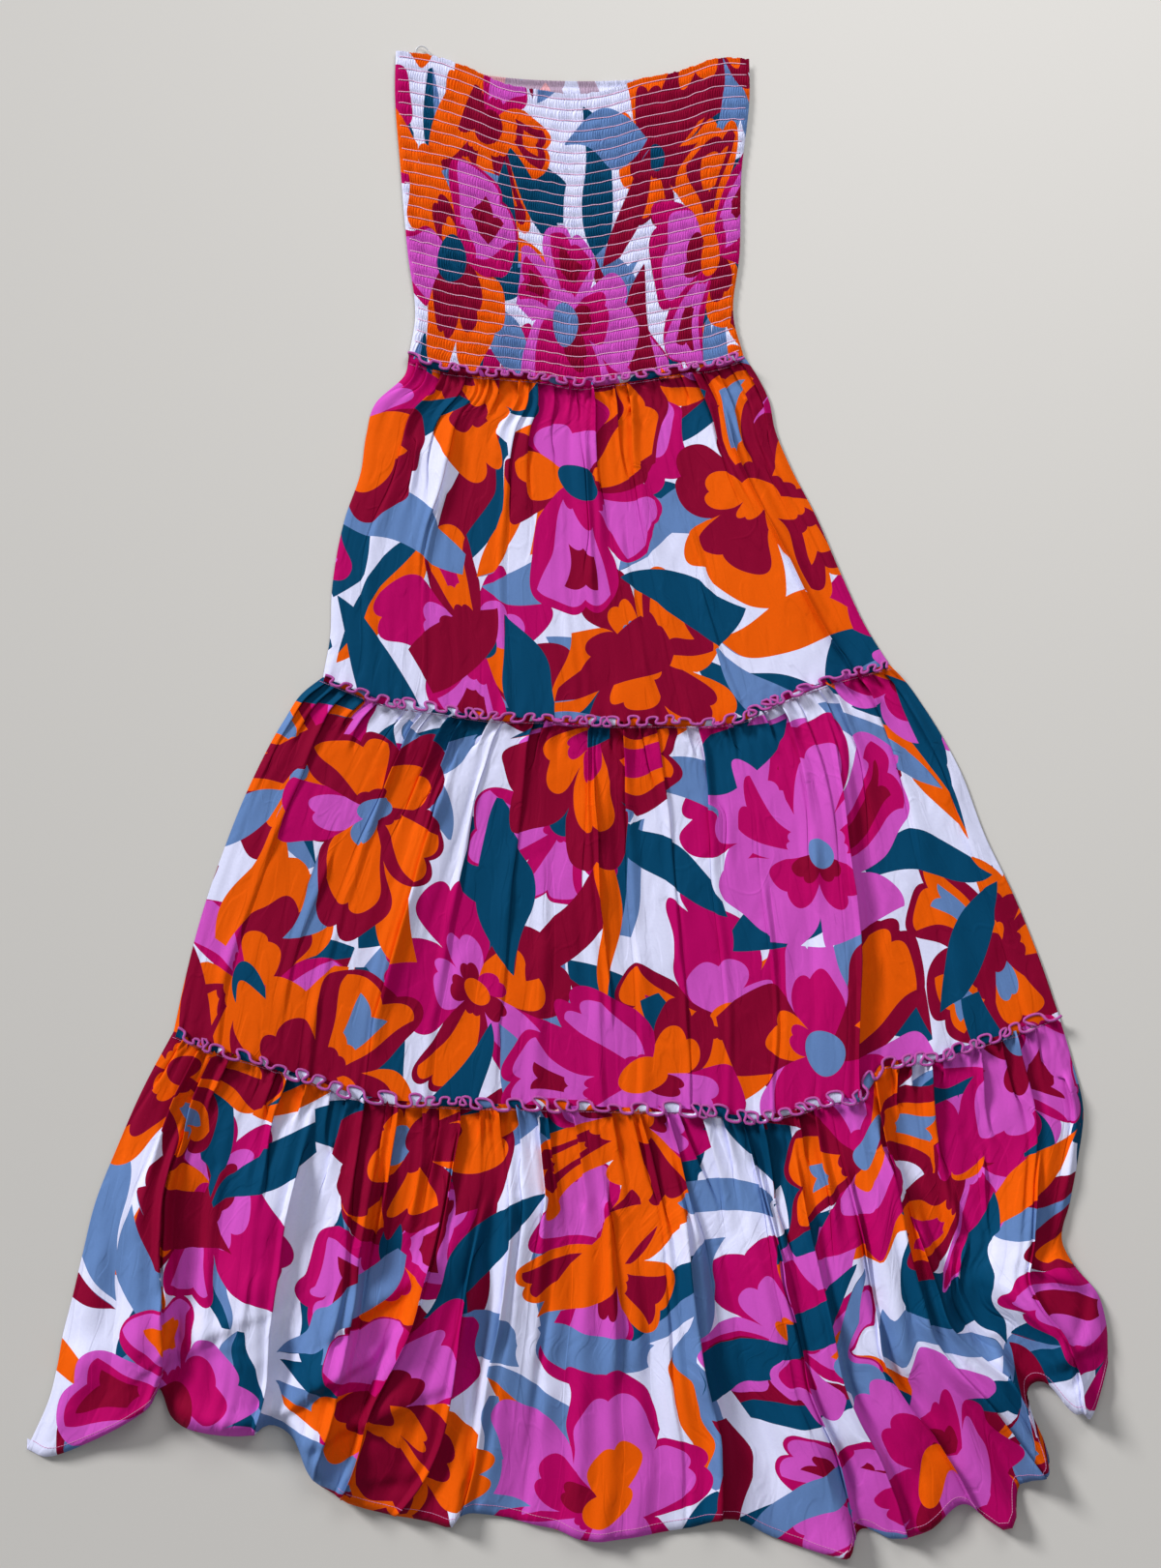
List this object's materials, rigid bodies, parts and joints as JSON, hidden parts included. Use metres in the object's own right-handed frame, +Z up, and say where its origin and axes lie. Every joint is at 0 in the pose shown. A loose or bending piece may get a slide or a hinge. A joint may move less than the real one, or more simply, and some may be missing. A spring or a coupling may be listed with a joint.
{
  "type": "maxi dress",
  "caption": "Strapless maxi dress laid flat: shirred bodice, gathered tiers and wavy seam frills, in printed woven cloth.",
  "frame": {"origin": "on the floor under the middle of the dress's bounding box", "axes": "+Y from the hem to the neckline, +X to the right of someone who looks down at the front, +Z up from the floor, out of the dress's front"},
  "size_m": [0.949, 1.324, 0.0298],
  "materials": {
    "printed_cloth": "smooth matt woven viscose, printed all over with large flowers in magenta, orchid, burgundy, orange, teal and slate blue on pale lilac",
    "overlock_frill": "printed viscose with a dense roll of mauve overlock thread along its edge",
    "clear_tape": "thin clear elastic tape, slightly milky"
  },
  "bodies": {
    "root": {"bodice_front": "printed_cloth", "bodice_back": "printed_cloth", "upper_tier_front": "printed_cloth", "upper_tier_back": "printed_cloth", "middle_tier_front": "printed_cloth", "middle_tier_back": "printed_cloth", "lower_tier_front": "printed_cloth", "lower_tier_back": "printed_cloth", "waist_frill": "overlock_frill", "waist_frill_back": "overlock_frill", "upper_seam_frill": "overlock_frill", "upper_seam_frill_back": "overlock_frill", "lower_seam_frill": "overlock_frill", "lower_seam_frill_back": "overlock_frill", "hanger_loop": "clear_tape"}
  },
  "joints": []
}
